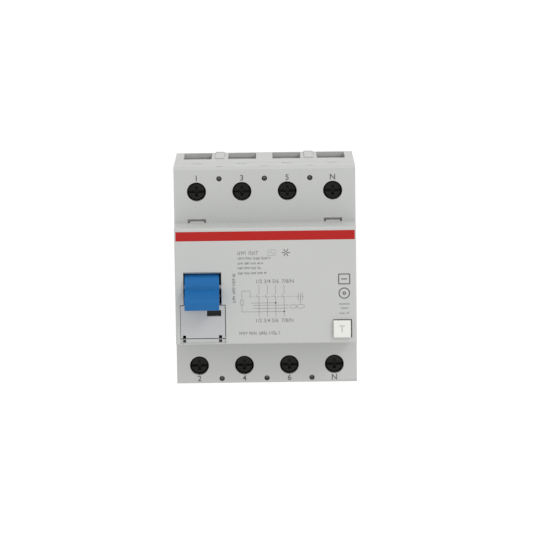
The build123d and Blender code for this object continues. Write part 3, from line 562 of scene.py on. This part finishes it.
# %% Diagram
line_x = [-2.65 + 3.2 * i for i in range(4)]
diagram = []
for x in line_x:
    diagram.append((x, 0.4, x, -3.3))
    diagram.append((x, -4.8, x, -12.0))
    diagram.append((x - 0.9, -3.4, x, -4.8))
dashes = np.arange(-6.4, 15.0, 1.2)
diagram += [(x, -4.2, x + 0.7, -4.2) for x in dashes]
diagram += [(-5.9, -6.6, line_x[2], -6.6), (-9.2, -10.0, line_x[3], -10.0), (-9.2, -1.9, -6.0, -1.9)]
diagram += [(-9.2, -1.9, -9.2, -5.4), (-9.2, -7.3, -9.2, -10.0), (-6.0, -1.9, -6.0, -4.2)]
diagram += [(-5.0, -7.5, 8.6, -7.5), (-5.0, -8.7, 8.6, -8.7), (13.2, -5.5, 13.2, -7.3)]
diagram += [(x, -2.9, x, -5.7) for x in (12.4, 13.2, 14.0)]
parts = [np.array(diagram), frame_strokes(-9.75, -8.65, -7.3, -5.4), ring_strokes(10.4, -8.1, 1.3, 0.7),
         ring_strokes(13.2, -8.1, 1.5, 0.75)]
print_strokes("wiring_diagram", np.vstack(parts), 0.15, nose_front, soft_ink)
dots = [ring_strokes(x, z, 0.18, 0.18, 12) for x, z in ((line_x[2], -6.6), (line_x[3], -10.0))]
print_strokes("diagram_joints", np.vstack(dots), 0.36, nose_front)

# %% [markdown]
# ## Plain marks where approvals stand
# Neutral outlines fill the place of the approval marks at the right: a square with a bar, a ring with a
# dot, and two short bars over a row of ticks. They copy no real mark.

# %% Neutral marks
neutral = [frame_strokes(27.9, 32.1, 0.4, 4.2), np.array([(28.9, 2.3, 31.1, 2.3)]),
           ring_strokes(30.0, -3.2, 2.0, 2.0), ring_strokes(30.0, -3.2, 0.5, 0.5, 16)]
print_strokes("neutral_marks", np.vstack(neutral), 0.42, nose_front)
print_strokes("neutral_bars", np.array([(28.0, -7.4, 32.0, -7.4), (28.6, -9.0, 31.4, -9.0)]), 0.6,
              nose_front, pale_ink)
print_strokes("neutral_row", tick_row(28.2, 31.9, -10.9, 1.0), 0.2, nose_front, pale_ink)

# %% [markdown]
# ## Figures
# Pole numbers are generic, so they are real figures. A text object gives their outlines; it is turned
# into a mesh at once, its points are stood up from the floor plane onto the front face, and only then
# does it become a piece, so the piece's own object stays at the origin.

# %% Figure printing
def print_figures(name, labels, y, height, weight, material, body="housing"):
    """labels is a list of (text, x, z) in millimetres, each centred; weight thickens the letters."""
    points, faces, count = [], [], 0
    for text, x, z in labels:
        curve = bpy.data.curves.new(name, "FONT")
        curve.body = text
        curve.align_x = "CENTER"
        curve.align_y = "CENTER"
        curve.size = height * 1.4 * MM
        curve.offset = weight * MM
        holder = bpy.data.objects.new(name, curve)
        mesh = bpy.data.meshes.new_from_object(holder)
        flat = np.empty(len(mesh.vertices) * 3)
        mesh.vertices.foreach_get("co", flat)
        flat = flat.reshape(-1, 3)
        depth = np.full(len(flat), y - ink_lift)
        stood = np.column_stack([flat[:, 0] + x * MM, depth, flat[:, 1] + z * MM])
        points.append(stood)
        faces += [[count + corner for corner in face.vertices] for face in mesh.polygons]
        count += len(stood)
        bpy.data.objects.remove(holder)
        bpy.data.meshes.remove(mesh)
    mesh = bpy.data.meshes.new(name)
    mesh.from_pydata(np.vstack(points).tolist(), [], faces)
    mesh.materials.append(material)
    piece = bpy.data.objects.new(name, mesh)
    bpy.context.scene.collection.objects.link(piece)
    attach(piece, body)
    return piece


upper_labels = [(text, x / MM, 39.7) for text, x in zip("135N", pole_x)]
lower_labels = [(text, x / MM, -38.9) for text, x in zip("246N", pole_x)]
print_figures("pole_figures", upper_labels + lower_labels, shoulder_front, 2.2, 0.05, ink)
small = []
for x, text in zip(line_x[:3] + [line_x[3] + 1.5], ("1/2", "3/4", "5/6", "7/8/N")):
    small.append((text, x, 1.7))
    small.append((text, x - 0.3, -13.5))
print_figures("diagram_figures", small, nose_front, 1.45, 0.02, soft_ink)
button_x = (button_low[0] + button_high[0]) / 2 / MM
cap_drop = 0.18  # mm: the flange laps further up than down, so the cap sits below its box's middle
button_z = (button_low[2] + button_high[2]) / 2 / MM - cap_drop
print_figures("button_letter", [("T", button_x, button_z)], button_low[1], 2.7, 0.04, faint_ink,
              "button")

# %% [markdown]
# ## Clip springs
# A coil spring presses each rail clip down, and it shortens when the clip is pulled up. Here the coil is
# swept again as a mesh of its own, from the bottom to the top of the spring's box, and it stands on the
# case.

# %% Coils
wire_radius = 0.18 * MM
coil_pitch = 0.85 * MM


def coil_tube(low, high, per_turn=28, around=10):
    """A wire round a helix: (x + r cos t, y + r sin t, z + p t / 2 pi), plus a circle across it."""
    radius = (high[0] - low[0]) / 2 - wire_radius
    rise = high[2] - low[2] - 2 * wire_radius
    t = np.linspace(0, 2 * math.pi * rise / coil_pitch, int(per_turn * rise / coil_pitch) + 1)
    outward = np.column_stack([np.cos(t), np.sin(t), np.zeros_like(t)])
    climb = coil_pitch / 2 / math.pi
    along = np.column_stack([-radius * np.sin(t), radius * np.cos(t), np.full_like(t, climb)])
    along /= np.linalg.norm(along, axis=1, keepdims=True)
    across = np.cross(outward, along)
    middle = np.array([(low[0] + high[0]) / 2, (low[1] + high[1]) / 2, low[2] + wire_radius])
    line = middle + radius * outward + np.outer(t, [0, 0, climb])
    a = np.linspace(0, 2 * math.pi, around, endpoint=False)[None, :, None]
    points = line[:, None] + wire_radius * (np.cos(a) * outward[:, None] + np.sin(a) * across[:, None])
    index = np.arange(len(t) * around).reshape(len(t), around)
    beside = np.roll(index, -1, axis=1)
    sides = np.stack([index[:-1], index[1:], beside[1:], beside[:-1]], axis=-1).reshape(-1, 4)
    return points.reshape(-1, 3), sides.tolist() + [index[0].tolist(), index[-1][::-1].tolist()]


for side in ("left", "right"):
    low, high = (np.array(corner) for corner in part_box(f"clip_spring_{side}"))
    points, faces = coil_tube(low, high)
    mesh = bpy.data.meshes.new(f"clip_coil_{side}")
    mesh.from_pydata(points.tolist(), [], faces)
    mesh.polygons.foreach_set("use_smooth", [len(face) == 4 for face in faces])
    mesh.materials.append(zinc_steel)
    coil = bpy.data.objects.new(f"clip_coil_{side}", mesh)
    bpy.context.scene.collection.objects.link(coil)
    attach(coil, "housing")
    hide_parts(f"clip_spring_{side}")
    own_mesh(coil)
    form = bmesh.new()
    form.from_mesh(mesh)
    print(coil.name, len(faces), "faces, volume", round(form.calc_volume(signed=True) * 1e9, 3), "mm3")
    form.free()
